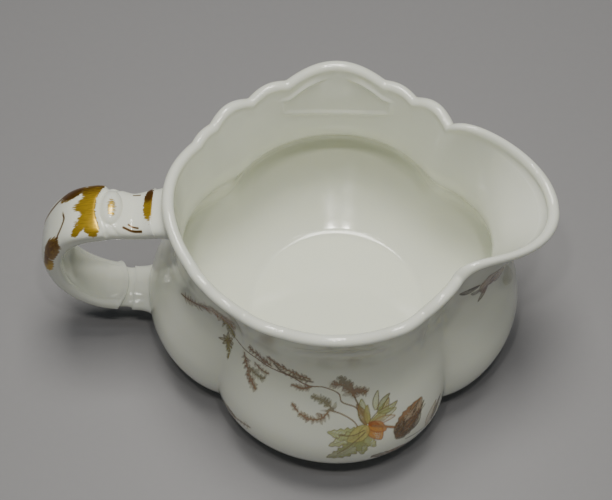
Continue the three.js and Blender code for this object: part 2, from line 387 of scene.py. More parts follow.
def bowl_and_floor(top):
    """Rows from the foot of the inner wall down to the ring round the floor, and over the floor."""
    inside_radius = top[:, 0]
    knee_radius = inside_radius - BOWL_KNEE
    knee = np.stack([knee_radius, FLOOR_TOP + (knee_radius - FLOOR_RADIUS) * BOWL_SLOPE], -1)
    ring_top = FLOOR_TOP + RING_FILLET * BOWL_SLOPE
    ring = level_ring(FLOOR_RADIUS + RING_FILLET, ring_top, inside_radius)
    rows = [
        (1 - share)**2 * top + 2 * share * (1 - share) * knee + share**2 * ring
        for share in np.linspace(0, 1, BOWL_ROWS)[1:]
    ]
    for turn in (0.6, 0.2, -0.2, -0.6, -1.0):
        height = FLOOR_TOP + RING_FILLET * BOWL_SLOPE * (turn + 1)**2 / 4
        rows.append(level_ring(FLOOR_RADIUS + RING_FILLET * turn, height, inside_radius))
    for radius in (FLOOR_RADIUS * 0.75, FLOOR_RADIUS * 0.4, FLOOR_MIDDLE):
        rows.append(level_ring(radius, FLOOR_TOP, inside_radius))
    return rows


def body_profile(degrees):
    """Closed outline at each angle: under the floor, up the outside, over the rim, down inside."""
    walls = outer_lines(degrees, OUTSIDE_ROWS)
    outside = walls.copy()
    for row in outside:
        row[:, 0] += neck_relief(degrees, row[:, 1])
    inside = inner_wall(walls, degrees)
    under = [
        level_ring(radius, FLOOR_BOTTOM, degrees)
        for radius in (FLOOR_MIDDLE, FOOT_RADIUS * 0.5, FOOT_RADIUS - 0.4)
    ]
    edge = level_ring(FOOT_RADIUS + 1.2, FLOOR_BOTTOM + 0.05, degrees)
    return np.array([
        *under, edge, *outside, *rolled_rim(degrees), *inside, *bowl_and_floor(inside[-1]),
    ])


def folded(degrees):
    """Angles round the whole jug, folded onto the half between spout and handle."""
    return np.where(degrees <= 180, degrees, 360 - degrees)


def make_body(material):
    theta = np.arange(BODY_COLUMNS) * 360 / BODY_COLUMNS
    profile = body_profile(folded(theta))
    points = turned(profile[..., 0], np.radians(theta), profile[..., 1]).reshape(-1, 3)
    faces = tube_faces(len(profile), BODY_COLUMNS)
    make_piece("glazed_body", points, faces, material, "glazed_porcelain", "jug_body")


# ---- foot ring

FOOT_INNER = 25.4
FOOT_HEIGHT = 2.75
FOOT_COLUMNS = 256


def make_foot(material):
    outline = (
        (FOOT_INNER + 0.7, 0.0), (FOOT_RADIUS - 0.9, 0.0), (FOOT_RADIUS - 0.45, 0.12),
        (FOOT_RADIUS - 0.15, 0.45), (FOOT_RADIUS, 1.0), (FOOT_RADIUS + 0.05, 1.8),
        (FOOT_RADIUS + 0.5, 2.4), (FOOT_RADIUS + 1.2, FOOT_HEIGHT),
        (FOOT_INNER - 1.0, FOOT_HEIGHT), (FOOT_INNER - 0.3, 2.3), (FOOT_INNER, 1.6),
        (FOOT_INNER + 0.1, 0.6), (FOOT_INNER + 0.35, 0.15),
    )
    turn = np.arange(FOOT_COLUMNS) * 2 * math.pi / FOOT_COLUMNS
    rings = [turned(radius, turn, np.full_like(turn, height)) for radius, height in outline]
    points = np.array(rings).reshape(-1, 3)
    wrapped = grid_faces(len(outline) + 1, FOOT_COLUMNS)
    faces = [tuple(corner % len(points) for corner in face) for face in wrapped]
    make_piece("foot_ring_glazed", points, faces, material, "foot_porcelain", "foot_ring")


# ---- handle

# x and z of the centre line, half width, half thickness, hollow of the inner face
HANDLE_STATIONS = (
    (-50.8, 65.2, 7.6, 3.6, 0.0),
    (-54.0, 64.0, 7.2, 3.3, 0.0),
    (-57.5, 63.4, 6.9, 3.2, 0.0),
    (-62.5, 64.6, 7.5, 3.5, 0.0),
    (-67.5, 64.8, 8.2, 3.9, 0.0),
    (-73.3, 62.8, 8.2, 4.0, 0.0),
    (-78.4, 58.0, 8.1, 3.9, 0.1),
    (-81.5, 50.8, 8.0, 3.8, 0.3),
    (-82.1, 42.6, 8.0, 3.6, 0.4),
    (-80.4, 34.2, 8.0, 3.4, 0.5),
    (-76.4, 27.2, 8.0, 3.2, 0.5),
    (-71.0, 22.6, 7.9, 3.2, 0.4),
    (-66.2, 20.8, 7.6, 3.3, 0.1),
    (-63.4, 19.9, 7.3, 2.7, 0.0),
    (-60.6, 19.2, 7.3, 2.7, 0.0),
)
HANDLE_ROWS = 440
HANDLE_SIDES = 168
SECTION_SQUARENESS = 0.72

# the oval boss on the upper arm: middle, then half length, half width and half height
BOSS_MIDDLE = (-63.4, 0.5, 66.8)
BOSS_SIZE = (3.2, 5.4, 3.0)
BOSS_ROOT = 0.7                   # how softly the boss grows out of the strap
UPPER_ARM_TOP = 63.5              # only points above this height are lifted
BOSS_CLEAR = 6                    # how far it drops away outside its oval, where it lifts nothing

# distances along the strap, in mm from its upper end
COLLAR = 16.8                     # where the leaf collar of the scroll starts, behind the boss
COLLAR_BOW = 0.03                 # how its edge bows, per mm across squared
FOLD = 15.9                       # the second fold, which runs round the boss to the edge
FOLD_BOW = 0.088
SCROLL_LIP = 77.6                 # where the lower scroll ends in a rolled lip
LIP_BOW = 0.035
EDGE_LINE = 0.78                  # the fine line beside each edge of the inner face, as a share


def signed_power(value, power):
    return np.sign(value) * np.abs(value)**power


class Strap:
    """The handle's surface as a grid: rows along it, and points round each section."""

    def __init__(self, rows, sides):
        keys = np.array(HANDLE_STATIONS, float)
        line = catmull_rom(keys[:, None, :2], rows)[:, 0]
        sizes = catmull_rom(keys[:, None, 2:], rows)[:, 0]
        tangent = np.gradient(line, axis=0)
        tangent /= np.linalg.norm(tangent, axis=1)[:, None]
        self.along = distance_along(line)[:, None]
        turn = np.arange(sides) * 2 * math.pi / sides
        self.side = signed_power(np.cos(turn), SECTION_SQUARENESS)[None]
        self.depth = signed_power(np.sin(turn), SECTION_SQUARENESS)[None]
        hollow = np.where(self.depth > 0, 1 - sizes[:, 2:] * (1 - self.side**2), 1)
        self.across = sizes[:, :1] * self.side
        inward = sizes[:, 1:2] * self.depth * hollow
        self.points = np.stack([
            line[:, :1] - tangent[:, 1:] * inward,
            self.across,
            line[:, 1:] + tangent[:, :1] * inward,
        ], -1)

    def normals(self):
        along = np.gradient(self.points, axis=0)
        padded = np.concatenate([self.points[:, -1:], self.points, self.points[:, :1]], 1)
        normal = np.cross(padded[:, 2:] - padded[:, :-2], along)
        return normal / np.linalg.norm(normal, axis=-1, keepdims=True)


def handle_relief(strap):
    """Height of the moulded relief over the plain strap, at each point of its grid."""
    along, across = strap.along, strap.across
    outer = smoothstep(-strap.depth, 0.0, 0.5)
    inner = smoothstep(strap.depth, 0.1, 0.5)
    collar = COLLAR - COLLAR_BOW * across**2
    fold = FOLD - FOLD_BOW * across**2
    relief = 0.45 * smoothstep(along, collar - 0.5, collar + 0.2) * smoothstep(along, 30, 20)
    relief -= 0.42 * ridge(along - collar + 0.9, 0.75)
    relief -= 0.25 * ridge(along - fold, 0.8) * smoothstep(np.abs(across), 2.5, 4.5)
    relief *= outer
    lip = SCROLL_LIP - LIP_BOW * across**2
    relief += 0.55 * ridge(along - lip + 0.7, 0.8) * (inner + 0.5 * (1 - inner - outer))
    relief -= 0.8 * smoothstep(along, lip - 0.5, lip + 0.5) * smoothstep(along, 82, 78)
    lines = ridge(np.abs(strap.side) - EDGE_LINE, 0.05)
    relief -= 0.25 * lines * inner * smoothstep(along, 38, 46) * smoothstep(along, lip, lip - 3)
    return relief


def raise_boss(points):
    """Lifts the top of the strap to the oval boss, with a soft root round it."""
    offset = [(points[..., axis] - BOSS_MIDDLE[axis]) / BOSS_SIZE[axis] for axis in (0, 1)]
    inside = 1 - offset[0]**2 - offset[1]**2
    dome = BOSS_MIDDLE[2] + BOSS_SIZE[2] * np.sqrt(np.maximum(inside, 0)) - BOSS_CLEAR * (inside < 0)
    rise = dome - points[..., 2]
    rounded = BOSS_ROOT * np.logaddexp(0, rise / BOSS_ROOT)
    lifted = np.where(points[..., 2] > UPPER_ARM_TOP, rounded, 0)
    points[..., 2] += lifted


def gild_outline(along, across, edge, far, low, high):
    """Soft cover of gilding between two curves along the strap and two distances across it."""
    cover = smoothstep(along, edge - 0.5, edge + 0.5) * smoothstep(along, far + 2.2, far - 1.8)
    return cover * smoothstep(across, low - 1.0, low + 1.4) * smoothstep(across, high + 0.6, high - 0.6)


def gild_blob(along, around, middle, size, lean=0.0):
    offset = (along - middle[0]) / size[0]
    reach = (around - middle[1] - lean * (along - middle[0])) / size[1]
    return smoothstep(np.hypot(offset, reach), 1.6, 0.45)


def stroke_cover(along, around, path, width):
    """Soft cover of a thin painted line through the points of path."""
    nearest = np.full(np.broadcast(along, around).shape, 99.0)
    for (a0, b0), (a1, b1) in zip(path[:-1], path[1:]):
        length = (a1 - a0)**2 + (b1 - b0)**2
        share = np.clip(((along - a0) * (a1 - a0) + (around - b0) * (b1 - b0)) / length, 0, 1)
        gap = np.hypot(along - a0 - share * (a1 - a0), around - b0 - share * (b1 - b0))
        nearest = np.minimum(nearest, gap)
    return smoothstep(nearest, width * 0.75, width * 0.25)


# each painted line: its width, then its points as distances along the strap and across it
GILT_LINES = (
    (0.5, ((8.6, -4.4), (7.2, -4.8), (5.8, -5.1), (4.4, -5.4))),
    (0.6, ((10.0, -5.4), (8.0, -5.8), (6.0, -6.05), (3.5, -6.35))),
    (0.4, ((7.4, 5.4), (4.3, 5.2))),
    (0.5, ((24.9, -0.2), (24.4, -2.0), (25.4, -4.4), (28.0, -6.8))),
    (1.1, ((23.6, 7.0), (27.6, 5.2), (31.5, 3.6), (35.0, 2.8))),
)


# the worn patches of gilding, measured across the strap or round its edges: middle, size and lean
PATCHES_ACROSS = (
    ((20.8, -6.2), (1.9, 1.0), -0.5),
    ((22.8, 5.8), (3.6, 2.3), -0.25),
    ((0.9, 1.6), (1.7, 5.4), 0.0),
)
PATCHES_ROUND_EDGE = (
    ((17.4, -7.4), (1.6, 2.4), 0.0),
    ((32.5, -8.6), (5.2, 2.6), -0.15),
    ((39.5, -9.4), (3.6, 1.6), 0.0),
)
BOSS_PATCH = ((13.0, -0.4), (1.2, 3.2))
BOSS_WEAR = 0.62                  # how much gilding is left on the boss
BROWN_ACROSS = (((23.4, 6.0), (3.6, 2.2)), ((0.9, 5.4), (2.4, 3.0)))
BROWN_ROUND_EDGE = ((34.0, -8.4), (7.0, 3.0))
BROWN_EDGE = 0.75
BROWN_SIDE = 0.6                  # how brown the gilding turns towards the far edge
GILT_BAND = (-6.4, 9.5)           # how far across the broad patch behind the collar reaches
EDGE_WRAP = 2.6                   # how far a patch round the edge runs on past the outer face


def gilt_cover(strap, around):
    """Soft cover of the gilding over the strap, not yet broken up by the brush."""
    along, across = np.broadcast_to(strap.along, strap.across.shape), strap.across
    collar = COLLAR - COLLAR_BOW * across**2
    left = collar + 4.1 + 0.9 * np.sin(across * 1.15 + 0.9)
    cover = gild_outline(along, across, collar, left, *GILT_BAND)
    for middle, size, lean in PATCHES_ACROSS:
        cover = np.maximum(cover, gild_blob(along, across, middle, size, lean))
    for middle, size, lean in PATCHES_ROUND_EDGE:
        cover = np.maximum(cover, gild_blob(along, around, middle, size, lean))
    return np.maximum(cover, BOSS_WEAR * gild_blob(along, across, *BOSS_PATCH))


def gilt_line_cover(strap):
    """Cover of the thin painted lines over the strap."""
    cover = np.zeros_like(strap.across)
    for width, path in GILT_LINES:
        curve = catmull_rom(np.array(path)[:, None], 16)[:, 0]
        cover = np.maximum(cover, stroke_cover(strap.along, strap.across, curve.tolist(), width))
    return cover


def brown_share(strap, around, lines):
    """Where the gilding reads as brown: rubbed thin in patches and along its lines, and browner towards
    the far edge.
    """
    along, across = np.broadcast_to(strap.along, strap.across.shape), strap.across
    brown = lines
    for middle, size in BROWN_ACROSS:
        brown = np.maximum(brown, gild_blob(along, across, middle, size))
    brown = np.maximum(brown, BROWN_SIDE * smoothstep(across, 2.0, 7.5))
    return np.maximum(brown, BROWN_EDGE * gild_blob(along, around, *BROWN_ROUND_EDGE))


def gild(piece, strap):
    """Stores where the handle is gilded, lined and browned, and the directions of the brush."""
    outer = smoothstep(-strap.depth, -0.35, 0.1)
    around = strap.across + np.sign(strap.across) * EDGE_WRAP * (1 - np.abs(strap.depth)**1.5)
    lines = gilt_line_cover(strap)
    add_attribute(piece, "gilding", gilt_cover(strap, around) * outer)
    add_attribute(piece, "gilt_lines", lines * outer)
    add_attribute(piece, "rubbed", brown_share(strap, around, lines))
    along = np.broadcast_to(strap.along, strap.across.shape)
    stacked = np.stack([along, strap.across, np.zeros_like(along)], -1)
    add_attribute(piece, "brush", stacked, "FLOAT_VECTOR", "vector")


def make_handle(material):
    strap = Strap(HANDLE_ROWS, HANDLE_SIDES)
    strap.points += strap.normals() * handle_relief(strap)[..., None]
    raise_boss(strap.points)
    faces = tube_faces(HANDLE_ROWS, HANDLE_SIDES)
    piece = make_piece("scroll_handle", strap.points.reshape(-1, 3), faces, material,
                       "handle_porcelain", "handle")
    gild(piece, strap)


# ---- luting joints

# the row of the strap where each collar starts, and how far the collar spreads against the body
UPPER_JOINT_ROW = 14
UPPER_JOINT_FLARE = 1.5
LOWER_JOINT_ROW = HANDLE_ROWS - 12
LOWER_JOINT_FLARE = 1.8
JOINT_ROWS = 14
JOINT_SINK = 0.05                 # how deep the collar starts under the strap
JOINT_LEAD = (9, 6, 3)            # rows of the strap that the sunk start of the collar follows
JOINT_BURIED = 0.12               # how deep the spread edge goes into the body
JOINT_ROOT = 1.0                  # how deep the closed end of the collar goes


def outside_x(across, height, deep=0.0):
    """x of the jug's outer surface on the handle side, at a distance across and a height."""
    degrees = np.full_like(across, 175.0)
    for _ in range(6):
        radius = radius_at(height, outer_lines(degrees, 160)) - deep
        degrees = 180 - np.degrees(np.arcsin(np.clip(np.abs(across) / radius, 0, 0.99)))
    return -np.sqrt(np.maximum(radius**2 - across**2, 0))


def joint_rings(strap, row, flare):
    """Rings from under the strap, along a concave curve and out onto the jug's wall."""
    upper = row < HANDLE_ROWS / 2
    end = strap.points[0 if upper else -1]
    heading = end.mean(axis=0) - strap.points[row].mean(axis=0)
    heading /= np.linalg.norm(heading)
    spread = end - end.mean(axis=0)
    spread -= (spread @ heading)[:, None] * heading
    outward = spread / np.linalg.norm(spread, axis=1)[:, None]
    corner = end.copy()
    corner[:, 0] = outside_x(end[:, 1], end[:, 2])
    wall = end + outward * flare
    wall[:, 2] += (corner[:, 0] - end[:, 0]) * heading[2] / heading[0]
    wall[:, 0] = outside_x(wall[:, 1], wall[:, 2], JOINT_BURIED)
    start = strap.points[row] - outward * JOINT_SINK
    away = 1 if upper else -1
    rings = [strap.points[row + away * back] - outward * JOINT_SINK for back in JOINT_LEAD]
    for share in np.linspace(0, 1, JOINT_ROWS):
        rings.append((1 - share)**2 * start + 2 * share * (1 - share) * corner + share**2 * wall)
    root = end.copy()
    root[:, 0] = outside_x(end[:, 1] * 0.9, end[:, 2], JOINT_ROOT)
    return np.array([*rings, root])


def make_joint(name, node, material, row, flare):
    """A collar of slip that joins one end of the handle to the jug."""
    rings = joint_rings(Strap(HANDLE_ROWS, HANDLE_SIDES), row, flare)
    faces = tube_faces(len(rings), HANDLE_SIDES)
    make_piece(name, rings.reshape(-1, 3), faces, material, "handle_porcelain", node)


# ---- printed flowers

# The print is laid out flat in millimetres: s runs round the lobe from its crest towards the spout,
# measured on the belly, and t runs up the jug's outline, counted from PRINT_BELLY at its widest.

PRINT_HEIGHT = 25.5
PRINT_BELLY = 23.5
PRINT_STEP = 0.22
PRINT_LIFT = 0.04
LEAFLET_LEAN = 62.0              # degrees between a sprig's stem and its leaflets

BROWN = (0.25, 0.145, 0.08)
TWIG = (0.40, 0.255, 0.19)
OLIVE = (0.37, 0.31, 0.10)
GREEN = (0.46, 0.49, 0.20)
PALE_GREEN = (0.66, 0.70, 0.36)
YELLOW = (0.78, 0.69, 0.27)
ORANGE = (0.84, 0.38, 0.09)
RED = (0.50, 0.12, 0.04)
RUST = (0.50, 0.24, 0.11)
BURNT_RED = (0.34, 0.06, 0.015)
PINK = (0.66, 0.28, 0.22)
PALE_PINK = (0.86, 0.66, 0.60)
DARK_LEAF = (0.13, 0.08, 0.05)
GREY_LEAF = (0.38, 0.33, 0.25)


def print_degrees(s):
    """Angles from the spout at distances s round the lobe."""
    degrees = np.arange(0.0, 180.5, 0.5)
    height = np.full_like(degrees, PRINT_HEIGHT)
    radius = radius_at(height, outer_lines(degrees, 60))
    travelled = distance_along(turned(radius, np.radians(degrees), height))
    crest = np.interp(SIDE_LOBE, degrees, travelled)
    return np.interp(crest - s, travelled, degrees)


class Sheet:
    """A thin printed sheet that lies on the outside of the jug and gathers coloured ink."""

    def __init__(self, s_range, t_range, face):
        self.face = face
        columns = int((s_range[1] - s_range[0]) / PRINT_STEP) + 1
        rows = int((t_range[1] - t_range[0]) / PRINT_STEP) + 1
        s = np.linspace(*s_range, columns)
        t = np.linspace(*t_range, rows)
        self.s, self.t = np.meshgrid(s, t)
        self.ink = np.ones((rows, columns, 3))
        self.cover = np.zeros((rows, columns))
        degrees = print_degrees(s)
        lines = outer_lines(degrees, 240)
        climbed = distance_along(lines)
        radius, height = np.empty((rows, columns)), np.empty((rows, columns))
        for column in range(columns):
            belly = np.interp(BELLY_HEIGHT, lines[:, column, 1], climbed[:, column])
            run = climbed[:, column] - belly + PRINT_BELLY
            radius[:, column] = np.interp(t, run, lines[:, column, 0])
            height[:, column] = np.interp(t, run, lines[:, column, 1])
        self.points = turned(radius, np.radians(degrees), height, face)

    def add(self, colour, cover):
        """Lays a colour over what is printed already, where cover is 1."""
        cover = np.clip(cover, 0, 1)
        total = cover + self.cover * (1 - cover)
        share = (cover / np.maximum(total, 1e-4))[..., None]
        self.ink += (np.array(colour) - self.ink) * share
        self.cover = total

    def leaf(self, base, tip, width, colour, cover=0.8, line=None, bend=0.0, vein=0.0, ragged=0.0):
        """A pointed leaf or petal from base to tip, bent sideways, with an outline and a vein."""
        base, tip = np.array(base, float), np.array(tip, float)
        length = np.linalg.norm(tip - base)
        ahead = (tip - base) / length
        along = ((self.s - base[0]) * ahead[0] + (self.t - base[1]) * ahead[1]) / length
        off = (self.t - base[1]) * ahead[0] - (self.s - base[0]) * ahead[1]
        off = off - bend * length * np.sin(np.clip(along, 0, 1) * math.pi)
        inside = np.clip(along, 0, 1)
        half = 0.5 * width * np.sin(math.pi * inside**0.8)**0.75
        half = half * (1 + ragged * np.sin(inside * length * 3.1 + base[0] * 2))
        body = smoothstep(half - np.abs(off), -0.12, 0.22) * (along > 0) * (along < 1)
        shade = cover * (0.78 + 0.22 * np.cos(along * 5 + off * 1.3))
        self.add(colour, body * shade)
        if line is not None:
            rim = ridge(np.abs(off) - half, 0.17) * (along > 0.02) * (along < 1.0)
            self.add(line, 0.75 * rim)
        if vein:
            centre = ridge(off, 0.14) * (along > 0.05) * (along < 0.9)
            ribs = ridge(np.mod(along * length * 0.9 + np.abs(off) * 0.8, 1.0) - 0.5, 0.13) * body
            self.add(line or BROWN, vein * np.maximum(centre, 0.5 * ribs))

    def stem(self, path, width, colour, cover=0.8):
        """A painted line through the points of path, smoothly curved."""
        line = catmull_rom(np.array(path, float)[:, None], 8 * len(path))[:, 0]
        self.add(colour, cover * stroke_cover(self.s, self.t, line.tolist(), width))

    def sprig(self, path, count, reach, colour, seed, cover=0.9, width=0.9):
        """A stem set with small leaflets on both sides, getting shorter towards its end."""
        random = np.random.default_rng(seed)
        line = catmull_rom(np.array(path, float)[:, None], 60)[:, 0]
        self.stem(path, reach * 0.7, colour, 0.16)
        self.stem(path, 0.5, colour, cover)
        for index in range(count):
            share = 0.08 + 0.9 * index / max(count - 1, 1)
            node = min(int(share * 59), 58)
            ahead = line[node + 1] - line[node]
            turn = math.atan2(ahead[1], ahead[0])
            lean = math.radians(LEAFLET_LEAN * random.uniform(0.7, 1.25)) * (1 if index % 2 else -1)
            length = reach * (1.1 - 0.5 * share) * random.uniform(0.7, 1.25)
            tip = line[node] + length * np.array([math.cos(turn + lean), math.sin(turn + lean)])
            self.leaf(line[node], tip, width * random.uniform(0.8, 1.6), colour,
                      cover * random.uniform(0.6, 1.15), bend=random.uniform(-0.12, 0.12))

    def make(self, name, material):
        rows, columns = self.s.shape
        normal = np.cross(np.gradient(self.points, axis=1), np.gradient(self.points, axis=0))
        normal *= self.face * -1 / np.linalg.norm(normal, axis=-1, keepdims=True)
        points = (self.points + normal * PRINT_LIFT).reshape(-1, 3)
        faces = grid_faces(rows, columns, wrap=False)
        if self.face > 0:
            faces = [face[::-1] for face in faces]
        piece = make_piece(name, points, faces, material, "glazed_porcelain", "jug_body")
        opaque = np.ones((rows, columns, 1))
        add_attribute(piece, "ink", np.concatenate([self.ink, opaque], -1), "FLOAT_COLOR", "color")
        add_attribute(piece, "ink_cover", self.cover)


def draw_flower(sheet, x, y):
    """The open autumn flower with its orange cup and leaves; x, y is its heart."""
    def at(s, t):
        return x + s, y + t

    leaf = sheet.leaf
    leaf(at(-1.2, -1.4), at(-12.6, -1.0), 4.2, PALE_GREEN, 0.8, OLIVE, 0.06, 0.5, 0.16)
    leaf(at(-0.8, -2.0), at(-12.0, -6.0), 4.2, PALE_GREEN, 0.85, BROWN, -0.05, 0.5, 0.18)
    leaf(at(-1.0, -2.2), at(-12.6, -11.4), 5.2, GREEN, 0.8, BROWN, 0.08, 0.5, 0.16)
    leaf(at(-0.5, -2.0), at(-2.4, -10.8), 4.2, GREEN, 0.8, OLIVE, -0.08, 0.45, 0.14)
    leaf(at(-0.5, -2.0), at(1.6, -8.6), 3.0, PALE_GREEN, 0.8, OLIVE, -0.08, 0.4, 0.12)
    leaf(at(0, 0), at(-6.6, -4.4), 5.2, YELLOW, 0.85, OLIVE, 0.04, 0.45)
    leaf(at(-0.4, 0.6), at(-1.4, 9.2), 3.2, PALE_GREEN, 0.6, OLIVE, 0.05, 0.3)
    leaf(at(-0.6, 0.4), at(-3.2, 7.8), 2.4, RUST, 0.7, BROWN, -0.06, 0.5)
    leaf(at(0.2, 0.6), at(0.4, 7.0), 1.9, YELLOW, 0.8, OLIVE, 0.06, 0.3)
    leaf(at(0.4, 0.8), at(8.0, 6.8), 3.0, YELLOW, 0.8, BROWN, -0.1, 0.5)
    leaf(at(3.4, 3.2), at(8.6, 8.0), 1.8, GREEN, 0.8, BROWN, 0.1)
    leaf(at(3.8, 3.6), at(10.6, 4.6), 2.0, PALE_GREEN, 0.8, BROWN, -0.1, 0.3)
    leaf(at(2.8, 4.4), at(4.6, 10.4), 2.0, PALE_GREEN, 0.5, BROWN, 0.05)
    leaf(at(0.8, 0.4), at(9.8, 2.6), 2.9, PALE_GREEN, 0.45, OLIVE, 0.05, 0.2)
    leaf(at(0.8, 0.2), at(9.0, 0.2), 2.2, PALE_PINK, 0.45, RUST, 0.06)
    leaf(at(0.0, 0.4), at(3.6, -6.2), 4.6, ORANGE, 0.92, RED, 0.05, 0.45)
    leaf(at(0.2, 0.4), at(5.4, -3.4), 3.6, ORANGE, 0.95, RED, 0.05, 0.35)
    leaf(at(0.0, 0.9), at(3.4, -0.6), 1.7, RED, 0.9, RED)
    leaf(at(-0.4, 0.2), at(-2.8, -5.0), 3.0, YELLOW, 0.95, OLIVE, 0.0, 0.3)
    sheet.stem([at(1.4, -0.4), at(4.4, -1.6), at(8.2, -3.8)], 0.8, RUST, 0.95)
    sheet.stem([at(-1.4, -1.2), at(-5, -2.4), at(-9, -2.0)], 0.4, BROWN, 0.8)
    sheet.stem([at(-1.2, -2.0), at(-5.4, -5.6), at(-9.4, -9.2)], 0.4, BROWN, 0.8)


def draw_seed_head(sheet, x, y):
    """A feathery seed head that leans towards the spout from x, y."""
    random = np.random.default_rng(11)
    sheet.leaf((x, y), (x + 11.2, y + 8.2), 7.4, RUST, 0.85, BROWN, 0.04, 0.6, 0.06)
    sheet.leaf((x - 0.2, y - 0.6), (x + 7.4, y + 4.0), 5.4, BROWN, 0.8, DARK_LEAF, -0.02, 0.7, 0.1)
    sheet.leaf((x + 0.2, y + 0.8), (x + 3.4, y + 6.2), 3.2, BROWN, 0.8, DARK_LEAF, 0.05, 0.5)
    sheet.leaf((x + 4.2, y - 0.6), (x + 9.6, y + 4.4), 2.4, DARK_LEAF, 0.7, DARK_LEAF, -0.1, 0.3)
    for _ in range(44):
        share, off = random.uniform(0.05, 0.95), random.uniform(-2.6, 2.6)
        start = (x + 9.8 * share - off * 0.6, y + 7.2 * share + off * 0.8)
        end = (start[0] + random.uniform(0.8, 2.0), start[1] + random.uniform(0.4, 1.6))
        sheet.stem([start, end], 0.36, DARK_LEAF, 0.75)


def draw_long_twig(sheet):
    """The twig that comes out of the groove and droops towards the flower."""
    sprig = sheet.sprig
    sheet.stem([(-42.0, 52.5), (-36.6, 52.0), (-31.0, 52.6), (-26.0, 52.6), (-17.0, 53.0),
                (-10.6, 51.4), (-5.0, 51.8), (0.4, 49.6), (1.2, 47.2), (5.8, 45.0), (8.0, 42.0)],
               0.42, TWIG, 0.85)
    sprig([(-10.2, 54.2), (-16.0, 54.8), (-22.0, 55.6), (-27.0, 56.6)], 26, 1.9, TWIG, 3)
    sprig([(-9.0, 53.2), (-14.5, 53.2), (-21.0, 53.6), (-24.0, 55.2)], 18, 1.6, BROWN, 4, 0.7)
    sprig([(-25.0, 53.4), (-29.4, 54.0), (-35.4, 54.8)], 18, 2.6, TWIG, 5)
    sprig([(-36.6, 50.6), (-34.4, 47.4), (-31.2, 44.4), (-28.6, 42.6)], 20, 2.6, TWIG, 6)
    sprig([(-33.0, 47.4), (-29.6, 46.8), (-26.6, 47.4)], 12, 2.2, GREY_LEAF, 7, 0.8)
    sprig([(-31.4, 50.4), (-28.4, 49.6), (-25.6, 49.8)], 10, 1.8, TWIG, 17, 0.7)
    sprig([(-9.4, 51.2), (-12.4, 50.0), (-16.4, 50.0)], 14, 1.8, TWIG, 8, 0.85)


def draw_bunch(sheet):
    """The bunch of small leaves over the flower."""
    sprig = sheet.sprig
    sheet.stem([(8.6, 41.6), (6.6, 46.2), (4.9, 50.0), (3.2, 53.0)], 0.5, BROWN, 0.85)
    sprig([(5.4, 48.8), (3.2, 52.4), (-2.2, 53.4)], 18, 3.0, TWIG, 9, 0.9, 1.1)
    sprig([(4.6, 50.6), (2.6, 54.4), (0.4, 56.2)], 12, 2.6, GREY_LEAF, 16, 0.85, 1.1)
    sprig([(5.0, 48.8), (6.8, 50.6), (10.0, 49.2)], 14, 2.6, TWIG, 10, 0.9, 1.1)


def draw_short_sprig(sheet):
    """The short sprig on the handle side of the flower."""
    sprig = sheet.sprig
    sheet.stem([(6.6, 37.4), (5.0, 40.6), (1.4, 43.2), (-3.0, 44.6)], 0.42, TWIG, 0.85)
    sprig([(-2.4, 44.8), (-5.2, 41.6), (-9.0, 40.8), (-12.2, 41.8)], 18, 2.2, TWIG, 12, 0.85, 0.8)
    sprig([(-12.8, 42.2), (-14.0, 43.2), (-15.0, 44.0)], 5, 1.4, TWIG, 18, 0.8)
    sprig([(-1.4, 44.4), (-4.4, 47.0), (-8.6, 48.0)], 16, 2.2, GREY_LEAF, 13, 0.85, 1.0)


def draw_trailing_leaves(sheet):
    """The leaves that run on round the lobe, under the flower."""
    sheet.leaf((30.4, 24.8), (36.6, 30.6), 2.2, DARK_LEAF, 0.85, BROWN, 0.08, 0.4)
    sheet.leaf((28.2, 24.8), (33.8, 31.6), 2.6, PALE_PINK, 0.35, RUST, 0.1, 0.2)
    sheet.stem([(20.5, 27.0), (25.5, 25.6), (29.6, 24.4)], 0.4, BROWN, 0.7)
    sheet.leaf((9.4, 25.0), (22.4, 21.6), 3.4, BROWN, 0.85, DARK_LEAF, -0.04, 0.5, 0.12)
    sheet.leaf((14.0, 24.4), (23.6, 19.4), 2.4, RUST, 0.7, BROWN, 0.08, 0.4)


def draw_fallen_spray(sheet):
    """A small fallen spray in the groove beside the lobe."""
    sheet.leaf((-33.0, 25.6), (-40.6, 25.0), 2.6, BROWN, 0.7, DARK_LEAF, 0.05, 0.5, 0.12)
    sheet.leaf((-33.0, 25.6), (-36.4, 21.4), 2.4, RUST, 0.6, BROWN, 0.05, 0.5, 0.12)
    sheet.sprig([(-27.0, 27.6), (-30.0, 26.6), (-33.4, 25.4)], 10, 1.8, TWIG, 19, 0.6, 0.6)


def front_print(face):
    sheet = Sheet((-42.0, 42.0), (15.0, 60.0), face)
    draw_long_twig(sheet)
    draw_bunch(sheet)
    draw_short_sprig(sheet)
    draw_flower(sheet, 9.4, 38.2)
    draw_seed_head(sheet, 17.4, 30.2)
    draw_trailing_leaves(sheet)
    draw_fallen_spray(sheet)
    return sheet


